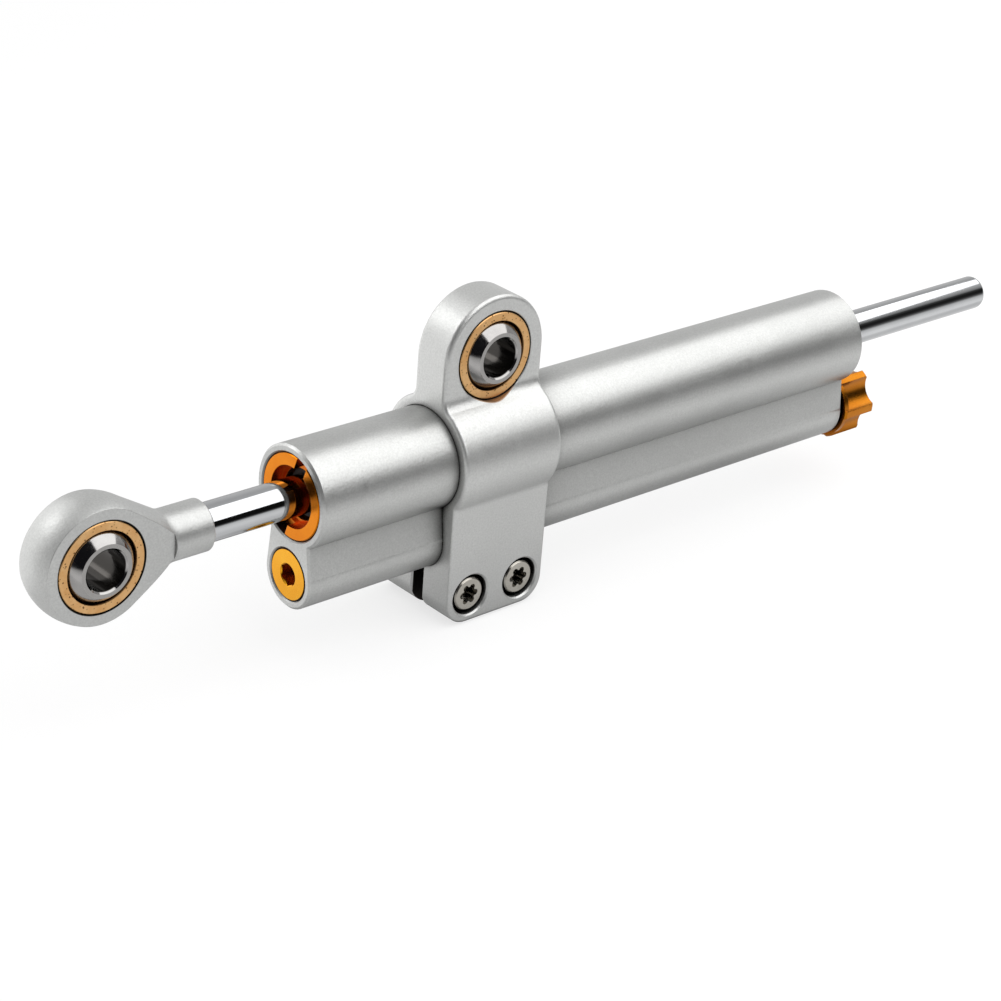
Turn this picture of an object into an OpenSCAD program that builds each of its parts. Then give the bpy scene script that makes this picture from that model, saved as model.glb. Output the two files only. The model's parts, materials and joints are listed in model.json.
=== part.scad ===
// Motorcycle steering damper: a twin-tube body with a through rod, a rod end and a split mounting clamp.
// X runs along the rod towards its free tip, Y along both eye bores, Z up from the tubes to the clamp eye.
// The origin is the centre of the clamp's spherical bearing.

/* [Damper body] */
// Length of the twin-tube body
body_len = 148.5; // [144:0.5:180]
// Outside diameter of the main damping tube
main_d = 20.7; // [20.3:0.1:23]
// Outside diameter of the bypass tube below it
bypass_d = 13.8; // [13.2:0.1:15]
// Distance between the two tube axes
tube_pitch = 16.4; // [16:0.1:18]
// Width of the web between the tubes, at its crease
web_w = 12; // [8:0.5:12.5]
// Chamfer around both ends of the body
end_chamfer = 0.45; // [0.2:0.05:0.6]
// Bore that the piston runs in
main_bore = 15; // [13:0.5:15.5]
// Bore of the bypass gallery
gallery_d = 6; // [5:0.25:6.5]
// Drilled port between the main bore and the gallery
port_d = 2.4; // [1.5:0.1:3]
// Distance from each gland's inner end to its port
port_inset = 4; // [3:0.5:6]

/* [Glands] */
// Outside diameter of each gland
gland_d = 17.4; // [16.8:0.1:17.8]
// Length of each gland inside the body
gland_len = 24; // [23:0.5:26]
// Diameter of the gland's open mouth
mouth_d = 12.4; // [11.5:0.1:13]
// Depth of the mouth
mouth_depth = 2.6; // [2:0.1:3]
// Diameter of the second step behind the mouth
step_d = 10.4; // [9.5:0.1:11]
// Depth at which the wiper groove starts
wiper_start = 4.4; // [4.2:0.1:5]
// Length of the wiper groove
wiper_len = 3; // [2.5:0.1:3.4]
// Diameter of the wiper groove
wiper_d = 11.6; // [11.2:0.1:12.4]
// Thickness of the land between the wiper and the guide bush
land_t = 1.4; // [1:0.1:2]
// Outside diameter of the guide bush
bush_d = 9.8; // [9:0.1:10.6]
// Length of the guide bush
bush_len = 7.4; // [6:0.1:8]
// Outside diameter of the rod seal
seal_d = 12.5; // [11.5:0.1:13]
// Length of the rod seal
seal_len = 4.8; // [4:0.1:5]
// Thickness of the wall of the rod seal's lips
seal_lip = 0.8; // [0.6:0.05:1]
// Distance from the gland's face to its ring groove
gland_groove_at = 17; // [14:0.5:19]
// Width of the two spanner slots
spanner_w = 3; // [2:0.1:4]
// Depth of the two spanner slots
spanner_depth = 2; // [1:0.1:2.4]
// Turn of the spanner slots away from upright
spanner_turn = 20; // [0:5:45]
// Length of each rubber bump stop
bump_len = 5.5; // [4:0.5:7]
// Outside diameter of each bump stop
bump_d = 12.6; // [11:0.1:13]

/* [Rod and piston] */
// Diameter of the damper rod
rod_d = 7.6; // [7:0.1:8]
// Travel of the rod end towards the body, from rest
push_travel = 20; // [15:1:25]
// Travel of the rod end away from the body, from rest
pull_travel = 50; // [40:1:52]
// Length of rod that still shows past the body when fully pulled
tip_margin = 0.3; // [0.1:0.1:6]
// Radius around the rod's free tip
tip_round = 1; // [0.4:0.1:2]
// Diameter of the threaded spigot in the rod end
spigot_d = 6; // [5:0.25:6.5]
// Length of the piston
piston_len = 12; // [10:0.5:14]
// Width of the piston's ring groove
ring_w = 3; // [2:0.1:4]
// Depth of the piston's ring groove
ring_depth = 1.2; // [0.8:0.1:1.6]
// Thickness of each thrust washer beside the piston
washer_t = 0.8; // [0.5:0.1:1.2]
// Outside diameter of each thrust washer
washer_d = 12; // [11:0.1:12.6]
// Thickness of each retaining clip on the rod
clip_t = 0.8; // [0.6:0.1:1.2]
// Outside diameter of each retaining clip
clip_d = 10.4; // [9.5:0.1:11]
// Depth of the clip grooves in the rod
clip_groove = 0.5; // [0.3:0.05:0.8]

/* [Rod end] */
// Diameter of the rounded eye
eye_ball_d = 24.2; // [23.4:0.1:26]
// Thickness of the eye across its flats
rod_eye_t = 9; // [8.6:0.1:10]
// Diameter of the sleeve that takes the rod
sleeve_d = 10.1; // [9.6:0.1:11]
// Distance from the eye's centre to the end of the sleeve
sleeve_reach = 23.8; // [22:0.1:28]
// Distance from the eye's centre to the small end of the tapered neck
neck_reach = 15; // [13.5:0.1:17]
// Radius of the hollow between the neck and the sleeve
neck_r = 4; // [2:0.25:5]
// Distance from the eye's centre to the end of its flats
flat_reach = 15.4; // [15:0.1:17.5]
// Radius at the end of the flats
flat_r = 9.5; // [9:0.25:11]
// Depth of the plain socket in the sleeve
socket_depth = 3; // [2:0.5:5]
// Wall left between the bearing race and the threaded socket
socket_skin = 0.6; // [0.4:0.1:1.5]

/* [Spherical bearings] */
// Outside diameter of each bearing race
race_d = 18; // [17:0.1:18.4]
// Width of each bearing race
race_w = 9; // [8:0.1:9]
// Diameter of each ball
ball_d = 15.88; // [15.4:0.02:16]
// Width of each ball across its faces
ball_w = 12; // [11:0.1:13]
// Bolt bore through each ball
bolt_bore = 8; // [6:0.5:8.5]
// Chamfer at both mouths of the bolt bore
bore_chamfer = 0.4; // [0.2:0.05:0.6]
// Diameter of the bevelled mouth of each race
race_mouth_d = 14.4; // [14:0.1:15]
// Depth of the bevel at each race's mouth
bevel_depth = 1; // [0.6:0.1:1.2]

/* [Mounting clamp] */
// Distance from the clamp's centre to the body's left end
clamp_to_end = 44.9; // [20:0.1:60]
// Width of the clamp along the tube, and of its eye
clamp_w = 24.7; // [22:0.1:28]
// Thickness of the clamp's eye
clamp_eye_t = 9; // [9:0.1:11]
// Distance from the clamp eye's centre down to the rod axis
rod_drop = 20.1; // [20:0.1:24]
// Wall of the clamp around the main tube
wrap_wall = 2.15; // [2:0.05:3]
// Rounding along the clamp's edges
clamp_edge = 0.9; // [0.5:0.05:1.2]
// Radius of the hollow between the eye and the wrap
eye_fillet = 3; // [1:0.1:3.2]
// Distance from the rod axis to the block's front face
block_front = 9.6; // [9:0.1:10.6]
// Distance from the rod axis to the block's back face
block_back = 12.4; // [11:0.1:12.4]
// Distance from the rod axis down to the block's bottom
block_drop = 33.75; // [33.4:0.05:37]
// Radius of the block's two bottom corners
block_corner = 5; // [3:0.25:6]
// Rounding along the block's edges
block_edge = 0.5; // [0.3:0.05:0.8]
// Radius of the hollow between the wrap and the block's front
block_fillet = 3; // [1:0.25:4]
// Width of the clamping slot
slot_w = 3; // [2:0.1:3.5]
// Chamfer along the slot's edges
slot_chamfer = 0.4; // [0.2:0.05:0.5]

/* [Clamp bolts] */
// Height of the bolts' axes above the block's bottom
bolt_rise = 5.8; // [5.25:0.05:6.1]
// Distance between the two bolts
bolt_pitch = 13; // [12:0.1:14]
// Shank diameter of each bolt
bolt_d = 4; // [3:0.5:4.5]
// Length of each bolt under its head
bolt_len = 16; // [12:0.5:16.5]
// Head diameter of each bolt
bolt_head_d = 7.1; // [6.5:0.1:8]
// Head height of each bolt
bolt_head_h = 4; // [3:0.1:4.4]
// Depth of the six-lobe socket in each head
bolt_socket = 2.2; // [1:0.1:2.6]
// Diameter of the six-lobe socket's round core
bolt_socket_d = 3.2; // [2.8:0.1:3.6]
// Diameter of each lobe around the core
bolt_lobe_d = 1.3; // [0.6:0.1:1.4]
// Extra width of the bolt holes in the clamp's front half
bolt_clearance = 0.2; // [0.1:0.05:0.4]
// Diameter of each counterbore
counterbore_d = 8.7; // [8.4:0.1:9.2]
// Depth of each counterbore
counterbore_depth = 4.5; // [4.4:0.1:5.2]
// Chamfer at each counterbore's mouth
counterbore_chamfer = 0.35; // [0.2:0.05:0.6]

/* [Bypass plug] */
// Diameter of the bypass plug
plug_d = 10.6; // [10:0.1:10.8]
// Length of the bypass plug
plug_len = 8; // [6:0.5:10]
// Width across the flats of the plug's hexagon socket
plug_hex = 4.1; // [3:0.1:5]
// Depth of the plug's hexagon socket
plug_hex_depth = 3; // [2:0.25:3.5]

/* [Adjuster] */
// Diameter of the adjuster cartridge
cartridge_d = 10.8; // [10:0.1:11]
// Length of the adjuster cartridge
cartridge_len = 18.8; // [17:0.1:22]
// Diameter of the adjuster spindle
spindle_d = 5; // [4.5:0.1:5.2]
// Diameter of the spindle's thrust flange
flange_d = 6.8; // [6.4:0.1:7.4]
// Thickness of the spindle's thrust flange
flange_t = 1.4; // [1:0.1:2]
// Diameter of the spindle's metering nose
nose_d = 4; // [3:0.1:4.2]
// Diameter of the hole along the metering nose
nose_bore = 2; // [1:0.1:2.2]
// Diameter of the metering hole across the nose
metering_d = 1; // [0.6:0.1:1.6]
// Distance from the spindle's axis to its drive flat
drive_flat = 1.7; // [1.4:0.05:2.1]
// Wire diameter of the spindle's sealing ring
spindle_cord_d = 0.7; // [0.5:0.05:0.8]
// Distance from the port to each end of the valve sleeve and nose
valve_reach = 4; // [3:0.25:6]
// Gap between the body's end and the knob
knob_gap = 0.5; // [0.4:0.1:1.5]
// Length of the knob
knob_len = 9.2; // [8:0.1:11]
// Diameter over the knob's lobes
knob_d = 16; // [15:0.1:17.5]
// Diameter at the bottom of the valleys between the lobes
knob_valley_d = 11.6; // [11:0.1:13]
// Width of each lobe's land as an angle
knob_land = 12; // [6:1:20]
// Number of lobes
knob_lobes = 6; // [5:1:7]
// Turn of the knob from level
knob_phase = 57; // [0:1:60]
// Diameter of the knob's round base
knob_base_d = 15; // [13:0.1:15.6]
// Thickness of the knob's round base
knob_base_t = 1.2; // [0.8:0.1:2]
// Chamfer around the knob's outer end
knob_chamfer = 0.4; // [0.2:0.05:0.8]
// Depth of the spindle's hole in the knob
knob_hole_depth = 5.2; // [4:0.1:5.6]
// Number of click positions in one turn
clicks = 18; // [12:1:20]
// Radius of the ring of click dimples
click_r = 4; // [3.9:0.05:4.1]
// Diameter of the click ball
click_ball_d = 2; // [1.5:0.1:2]
// Depth of each click dimple
click_depth = 0.2; // [0.1:0.05:0.25]
// Wire diameter of the click spring
wire_d = 0.35; // [0.25:0.05:0.4]
// Number of curls in the click spring
curls = 6; // [4:1:6]
// Length of the click spring
click_spring_len = 5.6; // [5:0.1:6.2]

/* [Knob screw] */
// Shank diameter of the knob screw
screw_d = 3; // [2:0.5:3]
// Length of the knob screw under its head
screw_len = 6; // [4:0.5:8]
// Head diameter of the knob screw
screw_head_d = 5.5; // [4.5:0.1:6]
// Head height of the knob screw
screw_head_h = 1.9; // [1.5:0.1:2.2]
// Width across the flats of the screw's socket
screw_hex = 2; // [1.5:0.1:2.5]
// Depth of the screw's socket
screw_socket = 1.3; // [0.8:0.1:1.4]
// Depth of the recess for the screw's head
screw_recess = 2.2; // [1.9:0.1:2.4]
// Radial gap around the screw's head
screw_head_gap = 0.12; // [0.08:0.02:0.2]

/* [Fits] */
// Radial clearance of pieces that run in each other
running_gap = 0.05; // [0.03:0.01:0.08]
// Radial clearance of pieces that are screwed or pressed together
seat_gap = 0.03; // [0.02:0.01:0.05]
// Gap between faces that meet end to end
face_gap = 0.1; // [0.05:0.01:0.2]
// Gap left between the rod end and the gland at full push
stop_gap = 0.3; // [0.2:0.05:1]
// Wire diameter of the sealing rings
cord_d = 1.4; // [1:0.1:1.6]
// Width of a sealing ring's groove as a share of its wire diameter
groove_share = 1.3; // [1.2:0.05:1.5]
// Gap between a screw's head and its seat
head_seat_gap = 0.01; // [0.01:0.01:0.03]
// Small chamfer on turned pieces
small_chamfer = 0.3; // [0.1:0.05:0.4]

/* [Hidden] */
$fn = 72;

// Radii that several pieces share
main_r = main_d / 2;
bypass_r = bypass_d / 2;
rod_r = rod_d / 2;
rod_hole_r = rod_r + running_gap;
ball_r = ball_d / 2;
wrap_r = main_r + wrap_wall;
half_w = clamp_w / 2;

// The hollows beside the wrap reach into its wall by this share of its thickness
wall_share = 0.3;
wall_mid_r = main_r + wrap_wall * wall_share;

// Places along X
body_left = -clamp_to_end;
body_right = body_left + body_len;
chamber_left = body_left + gland_len;
chamber_right = body_right - gland_len;
eye_x = body_left - stop_gap - push_travel - sleeve_reach;
sleeve_end = eye_x + sleeve_reach;
tip_x = body_right + pull_travel + tip_margin;
piston_x = (chamber_left + chamber_right) / 2 + (pull_travel - push_travel) / 2;
port_left = chamber_left + port_inset;
port_right = chamber_right - port_inset;

// Height of the bypass axis, and of the block's bottom
bypass_drop = rod_drop + tube_pitch;
block_z = -rod_drop - block_drop;

// The web's crease on the main tube and where its side meets the bypass tube
crease_y = web_w / 2;
crease_z = -sqrt(main_r * main_r - crease_y * crease_y);
crease_above = tube_pitch + crease_z;
web_angle = atan2(crease_above, crease_y) - acos(bypass_r / norm([crease_y, crease_above]));
foot_y = bypass_r * cos(web_angle);
foot_z = bypass_r * sin(web_angle) - tube_pitch;

// The web's sides run on into the main tube by this share of their height
web_rise = 0.2;

// Rounds and faces that blend cut this far into each other, so that they cross at a small angle
blend_bite = 0.02;

// Depths inside each gland, from its face
wiper_end = wiper_start + wiper_len;
bush_start = wiper_end + land_t;
seal_start = bush_start + bush_len + face_gap;
seal_end = seal_start + seal_len;

// The sealing rings' grooves
groove_w = cord_d * groove_share;
squeeze = cord_d - running_gap;

// Places along X at the adjuster's end
cartridge_out = body_right - face_gap * 2;
cartridge_in = cartridge_out - cartridge_len;
flange_x = cartridge_in + face_gap;
knob_x = body_right + knob_gap;
knob_out = knob_x + knob_len;
spindle_out = knob_x + knob_hole_depth - face_gap;
screw_seat = knob_out - screw_recess;
click_x = knob_x - running_gap - click_ball_d / 2;
pocket_in = click_x - click_ball_d / 2 - click_spring_len - face_gap * 2;
spindle_groove_x = (flange_x + flange_t + pocket_in) / 2;
spindle_groove_w = spindle_cord_d * groove_share;

// A cutter's spare length past the face that it opens, and the finish of faceted forms
over = 1;
rings_per_curl = 8;
wire_sides = 6;
socket_lobes = 6;

module on_rod_axis() {
    translate([0, 0, -rod_drop]) children();
}

module on_bypass_axis() {
    translate([0, 0, -bypass_drop]) children();
}

// Places a piece whose outer face is at x = 0 and which runs inwards along +X
module at_left_end() {
    on_rod_axis() translate([body_left, 0, 0]) children();
}

module at_right_end() {
    on_rod_axis() translate([body_right, 0, 0]) mirror([1, 0, 0]) children();
}

module at_rod_eye() {
    on_rod_axis() translate([eye_x, 0, 0]) children();
}

// A turned solid about the X axis, from points of radius and place along X
module turned(points) {
    rotate([0, 90, 0]) rotate_extrude() polygon(points);
}

// A straight bar or bore along X
module bar_x(r, x0, x1) {
    translate([x0, 0, 0]) rotate([0, 90, 0]) cylinder(r = r, h = x1 - x0);
}

// A washer, bush or sleeve along X
module sleeve_x(r_out, r_in, x0, x1) {
    turned([[r_in, x0], [r_out, x0], [r_out, x1], [r_in, x1]]);
}

// A solid cylinder along X with both edges chamfered
module chamfered_bar(r, x0, x1, c) {
    turned([[0, x0], [r - c, x0], [r, x0 + c], [r, x1 - c], [r - c, x1], [0, x1]]);
}

// A bore along X that opens at x0 with a chamfered mouth
module bore_with_mouth(r, x0, x1, c) {
    turned([[0, x0 - over], [r + c, x0 - over], [r + c, x0], [r, x0 + c], [r, x1], [0, x1]]);
}

// A cylinder along Y, centred at y = 0
module bar_y(r, len) {
    rotate([90, 0, 0]) cylinder(r = r, h = len, center = true);
}

// Extrudes a YZ outline along X, centred at x = 0
module along_x(len) {
    rotate([90, 0, 90]) linear_extrude(len, center = true) children();
}

// A sealing ring about the X axis in a groove whose floor has radius r
module seal_ring(r, x) {
    rotate([0, 90, 0])
        translate([0, 0, x])
        rotate_extrude() translate([r + cord_d / 2, 0]) circle(d = cord_d - running_gap);
}

// Half outline of a disc with rounded rims, for turning
module rim_outline(r, half, edge) {
    translate([0, -half]) square([r - edge, 2 * half]);
    translate([0, edge - half]) square([r, 2 * (half - edge)]);
    for (side = [-1, 1])
        translate([r - edge, side * (half - edge)]) circle(edge);
}

// A rectangle with rounded corners, centred
module round_rect(half_x, half_y, edge) {
    square([2 * (half_x - edge), 2 * half_y], center = true);
    square([2 * half_x, 2 * (half_y - edge)], center = true);
    for (sx = [-1, 1], sy = [-1, 1])
        translate([sx * (half_x - edge), sy * (half_y - edge)]) circle(edge);
}

// Web between the tubes, as a YZ outline about the rod axis, with its sides moved out by gap
module web_outline(gap) {
    out_y = (gap - blend_bite) * cos(web_angle);
    out_z = (gap - blend_bite) * sin(web_angle);
    top_y = crease_y + (crease_y - foot_y) * web_rise + out_y;
    top_z = crease_z + (crease_z - foot_z) * web_rise + out_z;
    side_y = foot_y + out_y;
    side_z = foot_z + out_z;
    polygon([[-side_y, side_z], [-top_y, top_z], [top_y, top_z], [side_y, side_z], [0, -tube_pitch]]);
}

module web() {
    mid_x = (body_left + body_right) / 2;
    mid = [0, (crease_y + foot_y) / 2, (crease_z + foot_z) / 2];
    lean = atan2(foot_y - crease_y, crease_z - foot_z);
    edge = (end_chamfer + 2 * blend_bite) * sqrt(2);
    difference() {
        translate([mid_x, 0, 0]) along_x(body_len) web_outline(0);
        for (x = [body_left, body_right], side = [0, 1])
            translate([x, 0, 0])
                mirror([0, side, 0])
                translate(mid)
                rotate([lean, 0, 0])
                rotate([0, 0, 45])
                cube([edge, edge, tube_pitch], center = true);
    }
}

module tube_casing() {
    cartridge_room = body_right - cartridge_in + face_gap;
    color("silver")
    difference() {
        on_rod_axis() {
            chamfered_bar(main_r, body_left, body_right, end_chamfer);
            translate([0, 0, -tube_pitch]) chamfered_bar(bypass_r, body_left, body_right, end_chamfer);
            web();
        }
        on_rod_axis() bar_x(main_bore / 2, body_left, body_right);
        at_left_end() bore_with_mouth(gland_d / 2 + seat_gap, 0, gland_len, small_chamfer);
        at_right_end() bore_with_mouth(gland_d / 2 + seat_gap, 0, gland_len, small_chamfer);
        on_bypass_axis() {
            bar_x(gallery_d / 2, body_left + plug_len, cartridge_out);
            translate([body_left, 0, 0])
                bore_with_mouth(plug_d / 2 + seat_gap, 0, plug_len + 2 * face_gap, small_chamfer);
            translate([body_right, 0, 0]) mirror([1, 0, 0])
                bore_with_mouth(cartridge_d / 2 + seat_gap, 0, cartridge_room, small_chamfer);
        }
        for (x = [port_left, port_right])
            translate([x, 0, -bypass_drop]) cylinder(d = port_d, h = tube_pitch);
    }
}

// One gland with its outer face at x = face_gap, running inwards along +X
module gland() {
    gland_r = gland_d / 2;
    floor_r = gland_r - squeeze;
    color("orange")
    difference() {
        turned([
            [mouth_d / 2, face_gap], [gland_r - small_chamfer, face_gap],
            [gland_r, face_gap + small_chamfer],
            [gland_r, gland_groove_at], [floor_r, gland_groove_at],
            [floor_r, gland_groove_at + groove_w], [gland_r, gland_groove_at + groove_w],
            [gland_r, gland_len - face_gap], [seal_d / 2, gland_len - face_gap],
            [seal_d / 2, seal_start], [bush_d / 2, seal_start],
            [bush_d / 2, bush_start], [rod_hole_r + seal_lip, bush_start],
            [rod_hole_r + seal_lip, wiper_end], [wiper_d / 2, wiper_end],
            [wiper_d / 2, wiper_start], [step_d / 2, wiper_start],
            [step_d / 2, mouth_depth], [mouth_d / 2, mouth_depth]
        ]);
        rotate([spanner_turn, 0, 0])
            translate([0, -spanner_w / 2, -gland_d])
            cube([spanner_depth, spanner_w, 2 * gland_d]);
    }
}

module wiper() {
    r = wiper_d / 2 - seat_gap;
    lip_x = wiper_start - seal_lip;
    color("dimgray")
    turned([
        [rod_hole_r, lip_x], [rod_hole_r + seal_lip, lip_x], [step_d / 2 - seal_lip, wiper_start],
        [step_d / 2 - seat_gap, wiper_start + face_gap], [r, wiper_start + face_gap],
        [r, wiper_end - face_gap], [rod_hole_r, wiper_end - face_gap]
    ]);
}

module guide_bush() {
    color("peru")
    sleeve_x(bush_d / 2 - seat_gap, rod_hole_r, bush_start + face_gap, seal_start - face_gap);
}

module rod_seal() {
    r = seal_d / 2 - seat_gap;
    x0 = seal_start + face_gap;
    x1 = seal_end - face_gap;
    color("dimgray")
    turned([
        [rod_hole_r, x0], [r, x0], [r, x1], [r - seal_lip, x1], [(r + rod_hole_r) / 2, (x0 + x1) / 2],
        [rod_hole_r + seal_lip, x1], [rod_hole_r, x1]
    ]);
}

module seal_washer() {
    color("gainsboro")
    sleeve_x(seal_d / 2 - seat_gap, rod_hole_r, seal_end, gland_len - face_gap);
}

module bump_stop() {
    x0 = gland_len;
    x1 = gland_len + bump_len;
    color("dimgray")
    turned([
        [rod_hole_r, x0], [bump_d / 2, x0], [bump_d / 2 - small_chamfer, x1 - 2 * small_chamfer],
        [bump_d / 2 - 2 * small_chamfer, x1], [rod_hole_r, x1]
    ]);
}

module gland_ring() {
    color("dimgray")
    seal_ring(gland_d / 2 - squeeze, gland_groove_at + groove_w / 2);
}

module gland_left() { at_left_end() gland(); }

module gland_right() { at_right_end() gland(); }

module wiper_left() { at_left_end() wiper(); }

module wiper_right() { at_right_end() wiper(); }

module guide_bush_left() { at_left_end() guide_bush(); }

module guide_bush_right() { at_right_end() guide_bush(); }

module rod_seal_left() { at_left_end() rod_seal(); }

module rod_seal_right() { at_right_end() rod_seal(); }

module seal_washer_left() { at_left_end() seal_washer(); }

module seal_washer_right() { at_right_end() seal_washer(); }

module bump_stop_left() { at_left_end() bump_stop(); }

module bump_stop_right() { at_right_end() bump_stop(); }

module gland_ring_left() { at_left_end() gland_ring(); }

module gland_ring_right() { at_right_end() gland_ring(); }

module bypass_plug() {
    r = plug_d / 2;
    groove_x = plug_len / 2;
    color("orange")
    on_bypass_axis() translate([body_left, 0, 0])
    difference() {
        turned([
            [0, face_gap], [r - small_chamfer, face_gap], [r, face_gap + small_chamfer],
            [r, groove_x], [r - squeeze, groove_x],
            [r - squeeze, groove_x + groove_w], [r, groove_x + groove_w],
            [r, plug_len], [0, plug_len]
        ]);
        rotate([0, 90, 0]) cylinder(d = plug_hex / cos(30), h = plug_hex_depth, $fn = 6);
        turned([
            [0, 0], [plug_hex / 2 + small_chamfer, 0], [plug_hex / 2 + small_chamfer, face_gap],
            [plug_hex / 2, face_gap + small_chamfer], [0, face_gap + small_chamfer]
        ]);
    }
}

module plug_ring() {
    color("dimgray")
    on_bypass_axis()
    seal_ring(plug_d / 2 - squeeze, body_left + plug_len / 2 + groove_w / 2);
}

// Fixed sleeve around the metering nose, with one hole that faces the right port
module valve_sleeve() {
    color("gainsboro")
    on_bypass_axis()
    difference() {
        translate([port_right, 0, 0])
            sleeve_x(gallery_d / 2 - seat_gap, nose_d / 2 + running_gap, -valve_reach, valve_reach);
        translate([port_right, 0, 0]) cylinder(d = port_d, h = gallery_d);
    }
}

module adjuster_cartridge() {
    r = cartridge_d / 2;
    groove_x = cartridge_in + flange_t + cord_d;
    flange_room = flange_t + 2 * face_gap;
    color("darkkhaki")
    on_bypass_axis()
    difference() {
        turned([
            [flange_d / 2 + running_gap, cartridge_in], [r, cartridge_in],
            [r, groove_x], [r - squeeze, groove_x],
            [r - squeeze, groove_x + groove_w], [r, groove_x + groove_w],
            [r, cartridge_out], [spindle_d / 2 + running_gap, cartridge_out],
            [spindle_d / 2 + running_gap, cartridge_in + flange_room],
            [flange_d / 2 + running_gap, cartridge_in + flange_room]
        ]);
        translate([0, 0, click_r])
            bar_x(click_ball_d / 2 + running_gap, pocket_in, cartridge_out + over);
    }
}

module cartridge_ring() {
    color("dimgray")
    on_bypass_axis()
    seal_ring(cartridge_d / 2 - squeeze, cartridge_in + flange_t + cord_d + groove_w / 2);
}

module click_ball() {
    color("gainsboro")
    on_bypass_axis() translate([click_x, 0, click_r]) sphere(d = click_ball_d);
}

// Points of one cross-section of the spring wire, at a turn of angle a
function wire_ring(a, r, rise) = [
    for (i = [0 : wire_sides - 1])
        let (b = 360 * i / wire_sides, reach = r + wire_d / 2 * cos(b))
        [reach * cos(a), reach * sin(a), rise * a / 360 + wire_d / 2 * sin(b)]
];

// Side faces of a tube made of count rings, and its two end faces
function wire_sides_faces(count) = [
    for (k = [0 : count - 2], i = [0 : wire_sides - 1])
        let (j = (i + 1) % wire_sides, low = k * wire_sides, high = low + wire_sides)
        each [[low + i, high + i, high + j], [low + i, high + j, low + j]]
];

function wire_end_faces(count) = [
    [for (i = [0 : wire_sides - 1]) i],
    [for (i = [wire_sides - 1 : -1 : 0]) (count - 1) * wire_sides + i]
];

module click_spring() {
    coil_r = click_ball_d / 2 - wire_d / 2;
    rise = (click_spring_len - wire_d) / curls;
    count = curls * rings_per_curl + 1;
    points = [for (k = [0 : count - 1]) each wire_ring(k * 360 / rings_per_curl, coil_r, rise)];
    echo(click_spring_gap = rise - wire_d);
    color("gainsboro")
    on_bypass_axis()
    translate([pocket_in + face_gap + wire_d / 2, 0, click_r])
        rotate([0, 90, 0])
        polyhedron(points, concat(wire_sides_faces(count), wire_end_faces(count)));
}

// Hollow between a face at distance face_y and the round wrap, along the clamp's whole width
module wrap_hollow(face_y, r, up) {
    reach = wrap_r + r - blend_bite;
    centre = [face_y + r, sqrt(reach * reach - (face_y + r) * (face_y + r))];
    root = [face_y - 2 * clamp_edge, centre.y];
    mirror([0, 0, up ? 0 : 1])
    difference() {
        along_x(clamp_w)
            polygon([root, centre, centre * wall_mid_r / reach, root * wall_mid_r / norm(root)]);
        translate([0, centre.x, centre.y]) {
            bar_x(r, -clamp_w, clamp_w);
            for (side = [0, 1])
                mirror([side, 0, 0])
                translate([half_w - clamp_edge, 0, 0])
                rotate([0, 90, 0])
                rotate_extrude()
                difference() {
                    square([r + clamp_edge, clamp_edge + over]);
                    translate([r + clamp_edge, 0]) circle(clamp_edge);
                }
        }
    }
}

module clamp_eye() {
    column = rod_drop - wall_mid_r;
    rotate([90, 0, 0]) rotate_extrude(angle = 180) rim_outline(half_w, clamp_eye_t / 2, clamp_edge);
    translate([0, 0, -column]) linear_extrude(column) round_rect(half_w, clamp_eye_t / 2, clamp_edge);
    on_rod_axis()
        for (side = [0, 1])
            mirror([0, side, 0]) wrap_hollow(clamp_eye_t / 2, eye_fillet, true);
}

module clamp_wrap() {
    rotate([0, 90, 0]) rotate_extrude() rim_outline(wrap_r, half_w, clamp_edge);
}

// A block about y = 0 below the wrap, with round bottom corners and eased edges
module block_form(half_t, edge) {
    corner_x = half_w - block_corner;
    translate([0, 0, block_corner - block_drop])
        linear_extrude(block_drop - block_corner) round_rect(half_w, half_t, edge);
    translate([0, 0, -block_drop / 2])
        along_x(2 * corner_x) round_rect(half_t, block_drop / 2, edge);
    for (side = [-1, 1])
        translate([side * corner_x, 0, block_corner - block_drop])
            rotate([90, 0, 0]) rotate_extrude() rim_outline(block_corner, half_t, edge);
}

// The clamp's block: its back carries on the wrap's rounding, its front has finer edges
module clamp_block() {
    block_form(block_front, block_edge);
    difference() {
        block_form(block_back, clamp_edge);
        translate([-clamp_w, -2 * block_back, -2 * block_drop])
            cube([2 * clamp_w, 2 * block_back, 2 * block_drop + over]);
    }
}

// The space that the twin tube fills inside the clamp
module tube_channel() {
    on_rod_axis() {
        bar_x(main_r + running_gap, -clamp_w, clamp_w);
        translate([0, 0, -tube_pitch]) bar_x(bypass_r + running_gap, -clamp_w, clamp_w);
        along_x(2 * clamp_w) web_outline(running_gap);
    }
}

module clamp_slot() {
    c = slot_chamfer * sqrt(2);
    translate([-clamp_w, -slot_w / 2, block_z - over])
        cube([2 * clamp_w, slot_w, over - block_z - bypass_drop]);
    for (x = [-half_w, half_w], y = [-slot_w / 2, slot_w / 2])
        translate([x, y, block_z]) rotate([0, 0, 45]) cube([c, c, block_drop], center = true);
}

module bolt_hole() {
    translate([0, -block_front, 0])
        rotate([-90, 0, 0]) {
            rotate_extrude()
                polygon([
                    [0, -over], [counterbore_d / 2 + counterbore_chamfer, -over],
                    [counterbore_d / 2 + counterbore_chamfer, 0], [counterbore_d / 2, counterbore_chamfer],
                    [counterbore_d / 2, counterbore_depth], [0, counterbore_depth]
                ]);
            cylinder(d = bolt_d + bolt_clearance, h = block_front);
            cylinder(d = bolt_d + 2 * seat_gap, h = counterbore_depth + bolt_len + face_gap);
        }
}

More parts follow.
